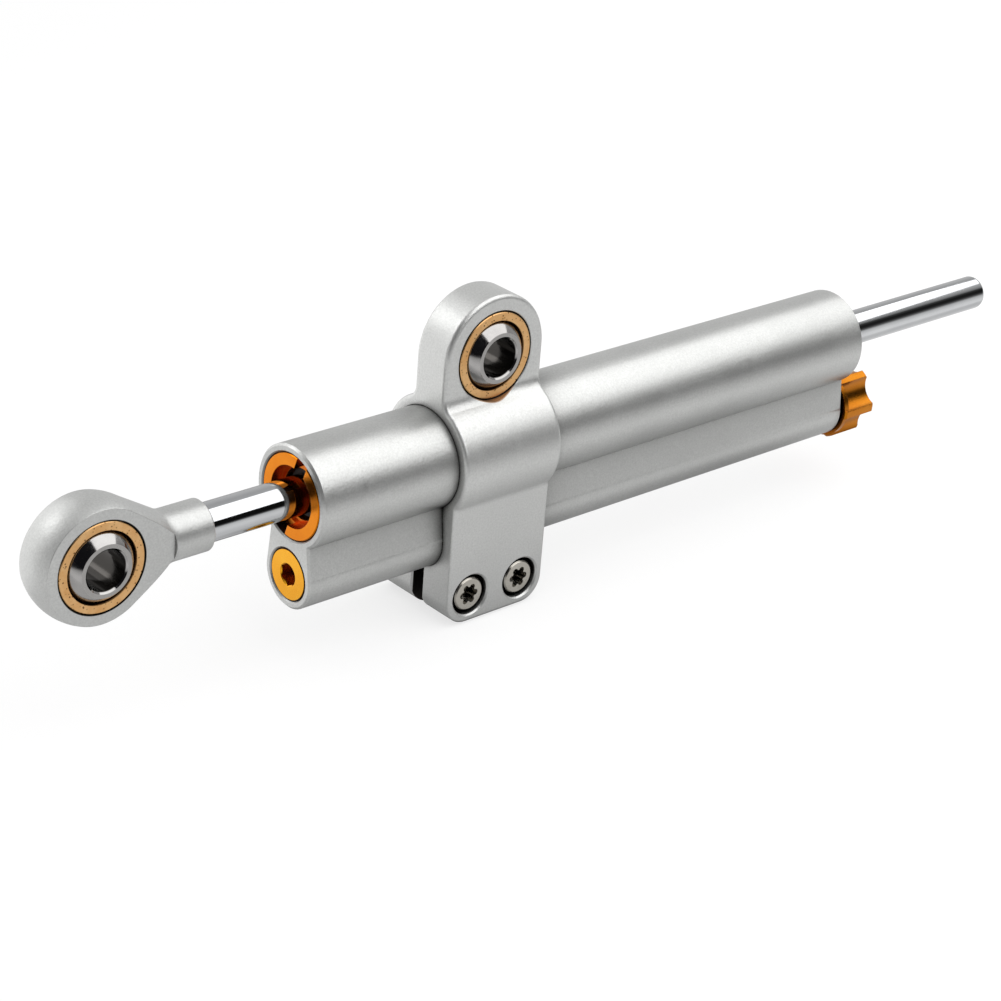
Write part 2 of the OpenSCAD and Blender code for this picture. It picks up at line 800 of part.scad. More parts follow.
module clamp_bracket() {
    seat_r = race_d / 2 + seat_gap;
    color("silver")
    difference() {
        union() {
            clamp_eye();
            on_rod_axis() mirror([0, 1, 0]) wrap_hollow(block_front, block_fillet, false);
            difference() {
                on_rod_axis() {
                    clamp_wrap();
                    clamp_block();
                }
                tube_channel();
                clamp_slot();
                for (side = [-1, 1])
                    translate([side * bolt_pitch / 2, 0, block_z + bolt_rise]) bolt_hole();
            }
        }
        bar_y(seat_r, clamp_w + over);
        for (side = [0, 1])
            mirror([0, side, 0])
            translate([0, clamp_eye_t / 2 - small_chamfer, 0])
            rotate([-90, 0, 0])
            cylinder(r1 = seat_r, r2 = seat_r + small_chamfer, h = small_chamfer);
    }
}

// One bolt along +Y with its head's bearing face at y = 0
module clamp_bolt() {
    core_r = bolt_socket_d / 2;
    color("lightgray")
    rotate([-90, 0, 0])
    difference() {
        rotate_extrude()
            polygon([
                [0, -bolt_head_h], [bolt_head_d / 2 - small_chamfer, -bolt_head_h],
                [bolt_head_d / 2, small_chamfer - bolt_head_h], [bolt_head_d / 2, 0],
                [bolt_d / 2, 0], [bolt_d / 2, bolt_len - small_chamfer],
                [bolt_d / 2 - small_chamfer, bolt_len], [0, bolt_len]
            ]);
        translate([0, 0, -bolt_head_h - over]) {
            cylinder(r = core_r, h = bolt_socket + over);
            for (i = [0 : socket_lobes - 1])
                rotate([0, 0, 360 * i / socket_lobes])
                translate([core_r, 0, 0]) cylinder(d = bolt_lobe_d, h = bolt_socket + over);
        }
    }
}

module clamp_bolts() {
    seat_y = counterbore_depth - block_front - head_seat_gap;
    for (side = [-1, 1])
        translate([side * bolt_pitch / 2, seat_y, block_z + bolt_rise]) clamp_bolt();
}

module race() {
    r = race_d / 2;
    half = race_w / 2;
    seat_r = ball_r + running_gap;
    color("goldenrod")
    rotate([90, 0, 0])
    difference() {
        rotate_extrude()
            polygon([
                [0, -half], [r - small_chamfer, -half], [r, small_chamfer - half],
                [r, half - small_chamfer], [r - small_chamfer, half], [0, half]
            ]);
        sphere(seat_r);
        for (side = [0, 1])
            mirror([0, 0, side])
            translate([0, 0, half - bevel_depth])
            cylinder(r1 = race_mouth_d / 2 - small_chamfer, r2 = race_mouth_d / 2, h = bevel_depth);
    }
}

module ball() {
    r = bolt_bore / 2;
    half = ball_w / 2;
    color("gray")
    rotate([90, 0, 0])
    difference() {
        sphere(ball_r);
        for (side = [0, 1])
            mirror([0, 0, side]) translate([0, 0, half]) cylinder(r = ball_r, h = ball_r);
        rotate_extrude()
            polygon([
                [0, -half - over], [r + bore_chamfer, -half - over], [r + bore_chamfer, -half],
                [r, bore_chamfer - half], [r, half - bore_chamfer],
                [r + bore_chamfer, half], [r + bore_chamfer, half + over], [0, half + over]
            ]);
    }
}

module clamp_race() { race(); }

module clamp_ball() { ball(); }

module rod_end_race() { at_rod_eye() race(); }

module rod_end_ball() { at_rod_eye() ball(); }

module rod_end() {
    eye_r = eye_ball_d / 2;
    sleeve_r = sleeve_d / 2;
    touch_r = eye_r - blend_bite;
    touch_angle = atan2(sleeve_r, neck_reach) + acos(touch_r / norm([neck_reach, sleeve_r]));
    hollow_len = neck_r * tan((90 - touch_angle) / 2);
    hollow_r = sleeve_r + hollow_len * cos(touch_angle);
    hollow_x = neck_reach - hollow_len * sin(touch_angle);
    centre = [sleeve_r + neck_r, neck_reach + hollow_len - blend_bite];
    color("silver")
    at_rod_eye()
    difference() {
        union() {
            sphere(eye_r);
            rotate([0, 90, 0])
                rotate_extrude()
                difference() {
                    polygon([
                        [0, touch_r * cos(touch_angle)],
                        touch_r * [sin(touch_angle), cos(touch_angle)],
                        [hollow_r, hollow_x], centre, [0, centre.y]
                    ]);
                    translate(centre) circle(neck_r);
                }
            chamfered_bar(sleeve_r, centre.y - 2 * small_chamfer, sleeve_reach, small_chamfer);
        }
        for (side = [0, 1])
            mirror([0, side, 0])
            translate([0, rod_eye_t / 2, 0]) {
                translate([-eye_ball_d, 0, -eye_ball_d])
                    cube([eye_ball_d + flat_reach - flat_r, eye_ball_d, 2 * eye_ball_d]);
                translate([flat_reach - flat_r, eye_ball_d / 2, 0]) bar_y(flat_r, eye_ball_d);
            }
        bar_y(race_d / 2 + seat_gap, eye_ball_d);
        bar_x(spigot_d / 2 + seat_gap, race_d / 2 + socket_skin, sleeve_reach + over);
        bar_x(rod_r + seat_gap, sleeve_reach - socket_depth, sleeve_reach + over);
    }
}

module damper_rod() {
    spigot_x = eye_x + race_d / 2 + socket_skin + small_chamfer;
    shoulder_x = sleeve_end - socket_depth + face_gap;
    clip_x = piston_len / 2 + washer_t + 2 * running_gap;
    groove_r = rod_r - clip_groove;
    left_x = piston_x - clip_x - clip_t - running_gap;
    right_x = piston_x + clip_x - running_gap;
    clip_room = clip_t + 2 * running_gap;
    color("whitesmoke")
    on_rod_axis() {
        chamfered_bar(spigot_d / 2, spigot_x, shoulder_x + over, small_chamfer);
        rotate([0, 90, 0])
            rotate_extrude() {
                polygon([
                    [0, shoulder_x], [rod_r, shoulder_x],
                    [rod_r, left_x], [groove_r, left_x],
                    [groove_r, left_x + clip_room], [rod_r, left_x + clip_room],
                    [rod_r, right_x], [groove_r, right_x],
                    [groove_r, right_x + clip_room], [rod_r, right_x + clip_room],
                    [rod_r, tip_x - tip_round], [rod_r - tip_round, tip_x], [0, tip_x]
                ]);
                translate([rod_r - tip_round, tip_x - tip_round]) circle(tip_round);
            }
    }
}

module piston() {
    r = main_bore / 2 - running_gap;
    half = piston_len / 2;
    color("gainsboro")
    on_rod_axis() translate([piston_x, 0, 0])
    turned([
        [rod_hole_r, -half], [r - small_chamfer, -half], [r, small_chamfer - half],
        [r, -ring_w / 2], [r - ring_depth, -ring_w / 2], [r - ring_depth, ring_w / 2], [r, ring_w / 2],
        [r, half - small_chamfer], [r - small_chamfer, half], [rod_hole_r, half]
    ]);
}

module piston_ring() {
    r = main_bore / 2 - running_gap;
    half = ring_w / 2 - running_gap;
    color("dimgray")
    on_rod_axis()
    translate([piston_x, 0, 0]) sleeve_x(r + running_gap / 2, r - ring_depth + seat_gap, -half, half);
}

module thrust_washers() {
    x = piston_len / 2 + running_gap;
    color("gainsboro")
    on_rod_axis()
    translate([piston_x, 0, 0])
    for (side = [0, 1])
        mirror([side, 0, 0]) sleeve_x(washer_d / 2, rod_hole_r, x, x + washer_t);
}

module rod_clips() {
    x = piston_len / 2 + washer_t + 2 * running_gap;
    color("dimgray")
    on_rod_axis()
    translate([piston_x, 0, 0])
    for (side = [0, 1])
        mirror([side, 0, 0]) sleeve_x(clip_d / 2, rod_r - clip_groove + seat_gap, x, x + clip_t);
}

// Outline of the star knob: a disc with round valleys, about its own axis
module knob_star() {
    half_gap = 180 / knob_lobes - knob_land / 2;
    r = knob_d / 2;
    valley_r = knob_valley_d / 2;
    centre = (r * r - valley_r * valley_r) / (2 * (r * cos(half_gap) - valley_r));
    difference() {
        circle(r);
        for (i = [0 : knob_lobes - 1])
            rotate(360 * (i + 0.5) / knob_lobes) translate([centre, 0]) circle(centre - valley_r);
    }
}

module adjuster_knob() {
    r = knob_d / 2;
    color("orange")
    on_bypass_axis()
    difference() {
        union() {
            bar_x(knob_base_d / 2, knob_x, knob_x + knob_base_t);
            intersection() {
                translate([knob_x, 0, 0])
                    rotate([180 - knob_phase, 0, 0])
                    rotate([90, 0, 90])
                    linear_extrude(knob_len) knob_star();
                chamfered_bar(r, knob_x, knob_out, knob_chamfer);
            }
        }
        difference() {
            bar_x(spindle_d / 2 + seat_gap, knob_x - over, knob_x + knob_hole_depth);
            translate([knob_x - 2 * over, -knob_d / 2, drive_flat + seat_gap])
                cube([knob_d, knob_d, knob_d]);
        }
        bar_x(screw_d / 2 + seat_gap, knob_x, knob_out);
        bar_x(screw_head_d / 2 + screw_head_gap, screw_seat, knob_out + over);
        for (i = [0 : clicks - 1])
            rotate([360 * i / clicks, 0, 0])
            translate([knob_x + click_depth - click_ball_d / 2, 0, click_r])
            sphere(d = click_ball_d);
    }
}

module adjuster_spindle() {
    tip_x0 = port_right - valve_reach;
    nose_r = nose_d / 2;
    r = spindle_d / 2;
    groove_r = r - spindle_cord_d;
    screw_floor = screw_seat - screw_len - face_gap;
    color("gainsboro")
    on_bypass_axis()
    difference() {
        turned([
            [nose_bore / 2, tip_x0], [nose_r, tip_x0], [nose_r, flange_x], [flange_d / 2, flange_x],
            [flange_d / 2, flange_x + flange_t], [r, flange_x + flange_t],
            [r, spindle_groove_x], [groove_r, spindle_groove_x],
            [groove_r, spindle_groove_x + spindle_groove_w], [r, spindle_groove_x + spindle_groove_w],
            [r, spindle_out - small_chamfer], [r - small_chamfer, spindle_out],
            [screw_d / 2 + seat_gap, spindle_out], [screw_d / 2 + seat_gap, screw_floor],
            [0, screw_floor], [0, port_right + nose_bore],
            [nose_bore / 2, port_right + nose_bore]
        ]);
        translate([port_right, 0, 0]) bar_y(metering_d / 2, nose_d);
        translate([knob_x, -spindle_d / 2, drive_flat]) cube([knob_len, spindle_d, spindle_d]);
    }
}

module spindle_ring() {
    ring_d = spindle_cord_d - seat_gap;
    color("dimgray")
    on_bypass_axis()
    rotate([0, 90, 0])
        translate([0, 0, spindle_groove_x + spindle_groove_w / 2])
        rotate_extrude() translate([(spindle_d - ring_d) / 2, 0]) circle(d = ring_d);
}

module knob_screw() {
    color("lightgray")
    on_bypass_axis()
    translate([screw_seat + head_seat_gap, 0, 0])
    difference() {
        turned([
            [0, -screw_len], [screw_d / 2, -screw_len], [screw_d / 2, 0],
            [screw_head_d / 2, 0], [screw_head_d / 2, screw_head_h - small_chamfer],
            [screw_head_d / 2 - small_chamfer, screw_head_h], [0, screw_head_h]
        ]);
        translate([screw_head_h - screw_socket, 0, 0])
            rotate([0, 90, 0]) cylinder(d = screw_hex / cos(30), h = screw_head_h, $fn = 6);
    }
}

tube_casing();
gland_left();
gland_right();
wiper_left();
wiper_right();
guide_bush_left();
guide_bush_right();
rod_seal_left();
rod_seal_right();
seal_washer_left();
seal_washer_right();
bump_stop_left();
bump_stop_right();
gland_ring_left();
gland_ring_right();
bypass_plug();
plug_ring();
valve_sleeve();
adjuster_cartridge();
cartridge_ring();
click_ball();
click_spring();
clamp_bracket();
clamp_bolts();
clamp_race();
clamp_ball();
piston();
piston_ring();
thrust_washers();
damper_rod();
rod_clips();
rod_end();
rod_end_race();
rod_end_ball();
adjuster_knob();
adjuster_spindle();
knob_screw();
spindle_ring();
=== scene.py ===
import json
import math

import bmesh
import bpy
from mathutils import Matrix, Vector


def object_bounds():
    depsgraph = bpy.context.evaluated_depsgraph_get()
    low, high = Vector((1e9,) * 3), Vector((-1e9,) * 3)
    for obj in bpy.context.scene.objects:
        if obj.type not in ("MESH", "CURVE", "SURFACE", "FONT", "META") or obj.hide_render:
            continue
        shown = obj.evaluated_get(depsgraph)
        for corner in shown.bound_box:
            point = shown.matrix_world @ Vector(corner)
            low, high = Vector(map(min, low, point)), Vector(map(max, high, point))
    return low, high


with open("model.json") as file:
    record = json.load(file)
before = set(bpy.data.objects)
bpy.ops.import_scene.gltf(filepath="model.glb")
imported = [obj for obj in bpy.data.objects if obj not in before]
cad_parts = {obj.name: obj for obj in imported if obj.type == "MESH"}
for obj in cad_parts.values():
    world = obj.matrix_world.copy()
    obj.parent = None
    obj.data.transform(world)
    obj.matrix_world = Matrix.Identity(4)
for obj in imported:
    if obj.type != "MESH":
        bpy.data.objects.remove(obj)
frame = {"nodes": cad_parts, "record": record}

cad_low, cad_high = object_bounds()
scene = bpy.context.scene
nodes = frame["nodes"]

MM = 0.001
ROD_Z = -20.1 * MM
BYPASS_Z = -36.5 * MM
EYE_X = -89.0 * MM


# Node helpers

def socket(tree, target, value):
    """Links a node's output to an input, or sets the input's own value."""
    if isinstance(value, bpy.types.NodeSocket):
        tree.links.new(value, target)
    else:
        target.default_value = value


def math_node(tree, operation, a, b=0.0):
    node = tree.nodes.new("ShaderNodeMath")
    node.operation = operation
    socket(tree, node.inputs[0], a)
    socket(tree, node.inputs[1], b)
    return node.outputs[0]


def vector_node(tree, operation, vector):
    node = tree.nodes.new("ShaderNodeVectorMath")
    node.operation = operation
    socket(tree, node.inputs[0], vector)
    return node


def parts_of(tree, vector):
    """The X, Y and Z outputs of a vector."""
    node = tree.nodes.new("ShaderNodeSeparateXYZ")
    socket(tree, node.inputs[0], vector)
    return node.outputs


def mapped(tree, vector, location=(0, 0, 0), scale=(1, 1, 1)):
    node = tree.nodes.new("ShaderNodeMapping")
    socket(tree, node.inputs["Vector"], vector)
    node.inputs["Location"].default_value = location
    node.inputs["Scale"].default_value = scale
    return node.outputs["Vector"]


def noise(tree, vector, scale, detail=2.0, rough=0.5):
    node = tree.nodes.new("ShaderNodeTexNoise")
    socket(tree, node.inputs["Vector"], vector)
    node.inputs["Scale"].default_value = scale
    node.inputs["Detail"].default_value = detail
    node.inputs["Roughness"].default_value = rough
    return node.outputs["Fac"]


def spread(tree, fac, low, high, out_low=0.0, out_high=1.0):
    """Maps low..high to out_low..out_high, clamped."""
    node = tree.nodes.new("ShaderNodeMapRange")
    socket(tree, node.inputs["Value"], fac)
    node.inputs["From Min"].default_value = low
    node.inputs["From Max"].default_value = high
    node.inputs["To Min"].default_value = out_low
    node.inputs["To Max"].default_value = out_high
    return node.outputs["Result"]


# Nearly all of a noise texture lies in this range
NOISE_LOW = 0.3
NOISE_HIGH = 0.7


def from_noise(tree, fac, out_low=0.0, out_high=1.0):
    """Maps a noise to out_low..out_high."""
    return spread(tree, fac, NOISE_LOW, NOISE_HIGH, out_low, out_high)


def past(tree, value, edge, width):
    """0 up to edge and 1 from edge + width on."""
    return spread(tree, value, edge, edge + width)


def ramp(tree, fac, stops):
    """A colour ramp from (place, grey) stops."""
    node = tree.nodes.new("ShaderNodeValToRGB")
    socket(tree, node.inputs["Fac"], fac)
    elements = node.color_ramp.elements
    while len(elements) < len(stops):
        elements.new(1.0)
    for element, (place, grey) in zip(elements, stops):
        element.position = place
        element.color = (grey, grey, grey, 1)
    return node.outputs["Color"]


def mixed(tree, fac, a, b):
    """Colour a where fac is 0 and colour b where it is 1."""
    node = tree.nodes.new("ShaderNodeMix")
    node.data_type = "RGBA"
    socket(tree, node.inputs["Factor"], fac)
    for name, value in (("A", a), ("B", b)):
        target = [s for s in node.inputs if s.name == name and s.type == "RGBA"][0]
        socket(tree, target, (*value, 1) if isinstance(value, tuple) else value)
    return [s for s in node.outputs if s.type == "RGBA"][0]


def scaled(colour, factor):
    return tuple(min(1.0, c * factor) for c in colour)


def bumped(tree, height, distance, strength, normal=None):
    node = tree.nodes.new("ShaderNodeBump")
    socket(tree, node.inputs["Height"], height)
    node.inputs["Distance"].default_value = distance
    node.inputs["Strength"].default_value = strength
    if normal is not None:
        socket(tree, node.inputs["Normal"], normal)
    return node.outputs["Normal"]


def soft_edges(tree, radius):
    """The normal rounded over edges by radius, as blasting and anodising leave them."""
    node = tree.nodes.new("ShaderNodeBevel")
    node.samples = 6
    node.inputs["Radius"].default_value = radius
    return node.outputs["Normal"]


def crevices(tree, reach, low, high):
    """0 deep in gaps and corners, up to 1 in the open: ambient occlusion, used to paint shade into colours.
    """
    node = tree.nodes.new("ShaderNodeAmbientOcclusion")
    node.samples = 8
    node.inputs["Distance"].default_value = reach
    return spread(tree, node.outputs["AO"], low, high)


def distance_from_axis(tree, place, centre, along):
    """Distance from the axis through centre along X or Y."""
    keep = {"X": (0, 1, 1), "Y": (1, 0, 1)}[along]
    shift = [-c * k for c, k in zip(centre, keep)]
    return vector_node(tree, "LENGTH", mapped(tree, place, shift, keep)).outputs["Value"]


def distance_from_middle(tree, place):
    """Distance from the upright plane through the rod's axis."""
    return math_node(tree, "ABSOLUTE", parts_of(tree, place)["Y"])


# A wave texture of scale s has rings RING_PITCH / s apart
RING_PITCH = 0.31416


def rings(tree, vector, centre, axis, pitch):
    """Turning marks: fine rings about an axis through centre."""
    node = tree.nodes.new("ShaderNodeTexWave")
    node.wave_type = "RINGS"
    node.rings_direction = axis
    socket(tree, node.inputs["Vector"], mapped(tree, vector, [-c for c in centre]))
    node.inputs["Scale"].default_value = RING_PITCH / pitch
    node.inputs["Distortion"].default_value = 0.6
    node.inputs["Detail"].default_value = 1.0
    node.inputs["Detail Scale"].default_value = 1.5
    return node.outputs["Fac"]


def material(name, metallic=1.0):
    made = bpy.data.materials.new(name)
    made.use_nodes = True
    tree = made.node_tree
    shader = tree.nodes["Principled BSDF"]
    shader.inputs["Metallic"].default_value = metallic
    where = tree.nodes.new("ShaderNodeTexCoord")
    return made, tree, shader, where


# Colours: the silver pieces, then oil in the joints and painted shade in the gaps
ALUMINIUM = (0.665, 0.67, 0.658)
CASING_ALUMINIUM = (0.668, 0.673, 0.66)
CLAMP_ALUMINIUM = (0.74, 0.745, 0.732)
# Dark oil in joints and seams, also used as painted shade in the clamp's slot and in tight creases
OIL_AND_SHADE = (0.012, 0.009, 0.007)
STAINED = (0.36, 0.24, 0.16)
# Painted shade in gaps, corners and recesses
CREVICE_SHADE = (0.014, 0.013, 0.012)
DARK_GOLD = (0.03, 0.010, 0.004)

# Gold anodising in each piece's shade: low, high and in the turning marks
GLAND_TONES = ((0.65, 0.180, 0.000), (0.73, 0.225, 0.002), (0.48, 0.11, 0.000))
PLUG_TONES = ((0.82, 0.355, 0.014), (0.86, 0.425, 0.026), (0.62, 0.22, 0.008))
KNOB_TONES = ((0.55, 0.180, 0.009), (0.62, 0.225, 0.015), (0.40, 0.11, 0.005))

# Painted shade of the gold anodising in each piece's recesses
GOLD_RECESS_SHADE = (0.30, 0.045, 0.008)
GLAND_RECESS_SHADE = (0.46, 0.095, 0.010)
PLUG_RECESS_SHADE = (0.10, 0.015, 0.005)
KNOB_RECESS_SHADE = (0.19, 0.030, 0.002)

BRONZE_TONES = ((0.70, 0.38, 0.145), (0.90, 0.57, 0.27), (0.55, 0.27, 0.09))
BRONZE_PORE = (0.16, 0.075, 0.025)
BRONZE_THROAT_SHADE = (0.05, 0.018, 0.006)
CHROME_TONES = ((0.60, 0.61, 0.625), (0.65, 0.66, 0.67))
BALL_ROUND_TONES = ((0.36, 0.35, 0.345), (0.43, 0.42, 0.41))
BALL_FACE_TONES = ((0.36, 0.35, 0.34), (0.44, 0.43, 0.42))
BALL_BORE = (0.05, 0.047, 0.044)
BOLT_TONES = ((0.52, 0.49, 0.44), (0.64, 0.61, 0.55))
STEEL_TONES = ((0.42, 0.42, 0.42), (0.52, 0.52, 0.52))
PISTON_TONES = ((0.56, 0.57, 0.58), (0.64, 0.65, 0.66))
RUBBER_TONE = (0.016, 0.016, 0.017)
PLASTIC_TONE = (0.03, 0.03, 0.034)

# Radii about a bearing's bore: the bore's wall, the race's throat and rim, and the seat's chamfer
BALL_BORE_R = 4.04 * MM
RACE_THROAT_R = 7.1 * MM
RACE_RIM_R = 8.8 * MM
SEAT_SEAM_R = 9.12 * MM

# Chamfers at the rims of the plug and of the glands
PLUG_RIM_R = 5.0 * MM
GLAND_RIM_R = 8.54 * MM

# The clamp's slot, which is open at the bottom, and the eyes' front and back faces
SLOT_HALF = 1.56 * MM
SLOT_TOP_Z = -42 * MM
SEAT_FACE_Y = 4.6 * MM

# Painted shade in gaps and corners, each as its reach and the openness at which it is darkest and gone
# The joint line is dark oil between parts and painted shade in tight creases
JOINT_OIL_AND_CREASE_SHADE = (0.6 * MM, 0.4, 0.75)
ROD_END_GAP = (3 * MM, 0.2, 0.62)
CASING_GAP = (12 * MM, 0.3, 1.0)
CLAMP_GAP = (3 * MM, 0.40, 0.69)
GOLD_GAP = (6 * MM, 0.25, 0.8)
PLUG_GAP = (3 * MM, 0.3, 0.75)
KNOB_GAP = (6 * MM, 0.34, 0.98)
BOLT_GAP = (2.2 * MM, 0.35, 0.72)

# Drawing and milling lines, as waves per metre along X, Y and Z
CASING_STREAKS = (14, 700, 700)
CLAMP_STREAKS = (30, 30, 900)


# Materials

def satin_aluminium(
    name, tone, gap, streaks=None, soften=0.2 * MM, seat=None, slot=False, rough_range=(0.375, 0.43),
):
    """Bead-blasted, clear anodised aluminium: fine grain, faint clouding, and a few handling marks.

    Gaps and corners get painted shade, and joints a dark line of oil that also paints shade into tight
    creases. The bearing seat about the point seat, if one is given, holds a dark line of oil. With slot set,
    the walls of the clamp's slot are painted dark as shade.
    """
    made, tree, shader, where = material(name, 0.82)
    place = where.outputs["Object"]
    cloud = noise(tree, place, 45, 3, 0.55)
    grit = noise(tree, place, 2600, 2, 0.6)
    coarse = noise(tree, place, 900, 3, 0.6)
    marks = noise(tree, mapped(tree, place, scale=(1, 0.16, 0.16)), 520, 1, 0.4)
    worn = spread(tree, marks, 0.71, 0.78)
    colour = mixed(tree, from_noise(tree, cloud), scaled(tone, 0.93), scaled(tone, 1.05))
    colour = mixed(tree, from_noise(tree, grit, 0.0, 0.44), colour, scaled(tone, 0.68))
    # Painted shade in gaps and corners
    colour = mixed(tree, crevices(tree, *gap), CREVICE_SHADE, colour)
    # A dark line of oil in joints, which also paints shade into tight creases
    colour = mixed(tree, crevices(tree, *JOINT_OIL_AND_CREASE_SHADE), OIL_AND_SHADE, colour)
    # Painted shade: the inside of the clamp's slot is painted dark
    if slot:
        above = past(tree, parts_of(tree, place)["Z"], SLOT_TOP_Z, 0.1 * MM)
        beside = past(tree, distance_from_middle(tree, place), SLOT_HALF, 0.05 * MM)
        colour = mixed(tree, math_node(tree, "MAXIMUM", above, beside), OIL_AND_SHADE, colour)
    if seat is not None:
        radius = distance_from_axis(tree, place, seat, "Y")
        past_face = past(tree, distance_from_middle(tree, place), SEAT_FACE_Y, 0.1 * MM)
        wall = mixed(tree, past_face, OIL_AND_SHADE, STAINED)
        colour = mixed(tree, past(tree, radius, SEAT_SEAM_R, 0.1 * MM), wall, colour)
    socket(tree, shader.inputs["Base Color"], colour)
    rough = from_noise(tree, cloud, *rough_range)
    rough = math_node(tree, "ADD", rough, from_noise(tree, coarse, -0.02, 0.03))
    rough = math_node(tree, "SUBTRACT", rough, math_node(tree, "MULTIPLY", worn, 0.045))
    socket(tree, shader.inputs["Roughness"], rough)
    normal = bumped(tree, grit, 5e-5, 0.7, soft_edges(tree, soften))
    normal = bumped(tree, coarse, 4.6e-5, 0.6, normal)
    if streaks:
        lines = noise(tree, mapped(tree, place, scale=streaks), 1, 3, 0.6)
        normal = bumped(tree, lines, 1.1e-5, 0.5, normal)
    socket(tree, shader.inputs["Normal"], normal)
    return made


def gold_anodised(name, centre, tones, gap=GOLD_GAP, deep=GOLD_RECESS_SHADE, turning=1.0, rim=None):
    """Gold anodised aluminium, turned about the X axis through centre, with painted shade in its recesses.

    Past the radius rim, if one is given, the chamfer at its edge is dark.
    """
    made, tree, shader, where = material(name)
    place = where.outputs["Object"]
    turned = rings(tree, place, centre, "X", 0.22 * MM)
    cloud = noise(tree, place, 160, 3, 0.55)
    grit = noise(tree, place, 2400, 2, 0.6)
    low, high, ringed = tones
    colour = mixed(tree, from_noise(tree, cloud), low, high)
    colour = mixed(tree, spread(tree, turned, 0.0, 1.0, 0.0, 0.12 * turning), colour, ringed)
    # Painted shade in the recesses
    colour = mixed(tree, crevices(tree, *gap), deep, colour)
    if rim is not None:
        radius = distance_from_axis(tree, place, centre, "X")
        colour = mixed(tree, past(tree, radius, rim, 0.06 * MM), colour, DARK_GOLD)
    socket(tree, shader.inputs["Base Color"], colour)
    socket(tree, shader.inputs["Roughness"], from_noise(tree, grit, 0.23, 0.27))
    normal = bumped(tree, turned, 4e-6 * turning, 0.5, soft_edges(tree, 0.12 * MM))
    normal = bumped(tree, grit, 1.5e-6, 0.5, normal)
    socket(tree, shader.inputs["Normal"], normal)
    return made


def sintered_bronze(name, centre):
    """Sintered bronze: warm, dark pores, turned about the Y axis, oily at its rim, with painted shade in its
    throat.
    """
    made, tree, shader, where = material(name)
    place = where.outputs["Object"]
    pores = tree.nodes.new("ShaderNodeTexVoronoi")
    socket(tree, pores.inputs["Vector"], place)
    pores.inputs["Scale"].default_value = 1500
    pit = spread(tree, pores.outputs["Distance"], 0.16, 0.32, 1.0, 0.0)
    some = spread(tree, noise(tree, place, 700, 2, 0.5), 0.44, 0.54)
    pit = math_node(tree, "MULTIPLY", pit, some)
    cloud = noise(tree, place, 380, 3, 0.6)
    turned = rings(tree, place, centre, "Y", 0.3 * MM)
    low, high, ringed = BRONZE_TONES
    colour = mixed(tree, from_noise(tree, cloud), low, high)
    colour = mixed(tree, spread(tree, turned, 0.0, 1.0, 0.0, 0.1), colour, ringed)
    colour = mixed(tree, pit, colour, BRONZE_PORE)
    radius = distance_from_axis(tree, place, centre, "Y")
    colour = mixed(tree, past(tree, radius, RACE_RIM_R, 0.08 * MM), colour, OIL_AND_SHADE)
    # Painted shade in the race's throat
    colour = mixed(tree, past(tree, radius, RACE_THROAT_R, 0.12 * MM), BRONZE_THROAT_SHADE, colour)
    socket(tree, shader.inputs["Base Color"], colour)
    socket(tree, shader.inputs["Roughness"], from_noise(tree, cloud, 0.30, 0.42))
    height = math_node(tree, "SUBTRACT", from_noise(tree, cloud, 0.0, 0.4), pit)
    socket(tree, shader.inputs["Normal"], bumped(tree, height, 2.2e-5, 0.6))
    return made


def hard_chrome(name):
    """Ground and polished hard chrome with hairline grinding marks around the rod."""
    made, tree, shader, where = material(name)
    place = where.outputs["Object"]
    fine = noise(tree, mapped(tree, place, scale=(5200, 60, 60)), 1, 2, 0.5)
    smear = noise(tree, place, 120, 3, 0.6)
    socket(tree, shader.inputs["Base Color"], mixed(tree, from_noise(tree, smear), *CHROME_TONES))
    socket(tree, shader.inputs["Roughness"], from_noise(tree, smear, 0.05, 0.1))
    socket(tree, shader.inputs["Normal"], bumped(tree, fine, 6e-7, 0.4))
    return made


def bearing_steel(name, centre):
    """Polished ball with turned annular faces and a dull, dark bore."""
    made, tree, shader, where = material(name)
    place = where.outputs["Object"]
    along_bore = parts_of(tree, where.outputs["Normal"])["Y"]
    flat = spread(tree, math_node(tree, "ABSOLUTE", along_bore), 0.93, 0.97)
    turned = rings(tree, place, centre, "Y", 0.2 * MM)
    smear = noise(tree, place, 260, 3, 0.6)
    scratch = noise(tree, mapped(tree, place, scale=(1, 0.2, 1)), 1800, 2, 0.5)
    round_tone = mixed(tree, from_noise(tree, smear), *BALL_ROUND_TONES)
    flat_tone = mixed(tree, turned, *BALL_FACE_TONES)
    radius = distance_from_axis(tree, place, centre, "Y")
    outside = past(tree, radius, BALL_BORE_R, 0.08 * MM)
    colour = mixed(tree, outside, BALL_BORE, mixed(tree, flat, round_tone, flat_tone))
    socket(tree, shader.inputs["Base Color"], colour)
    polish = from_noise(tree, scratch, 0.09, 0.17)
    rough = math_node(tree, "ADD", polish, math_node(tree, "MULTIPLY", flat, 0.18))
    socket(tree, shader.inputs["Roughness"], rough)
    height = math_node(tree, "MULTIPLY", turned, flat)
    socket(tree, shader.inputs["Normal"], bumped(tree, height, 3e-6, 0.6))
    return made


def turned_metal(name, tones, rough, centre, axis, gap=None):
    """Plain turned metal: fine rings about an axis, cloudy tone, and painted shade in its recesses."""
    made, tree, shader, where = material(name)
    place = where.outputs["Object"]
    turned = rings(tree, place, centre, axis, 0.18 * MM)
    cloud = noise(tree, place, 500, 3, 0.6)
    colour = mixed(tree, from_noise(tree, cloud), *tones)
    if gap is not None:
        # Painted shade in recesses, such as the bolts' sockets
        colour = mixed(tree, crevices(tree, *gap), CREVICE_SHADE, colour)
    socket(tree, shader.inputs["Base Color"], colour)
    socket(tree, shader.inputs["Roughness"], from_noise(tree, cloud, rough - 0.04, rough + 0.05))
    socket(tree, shader.inputs["Normal"], bumped(tree, turned, 3e-6, 0.5))
    return made


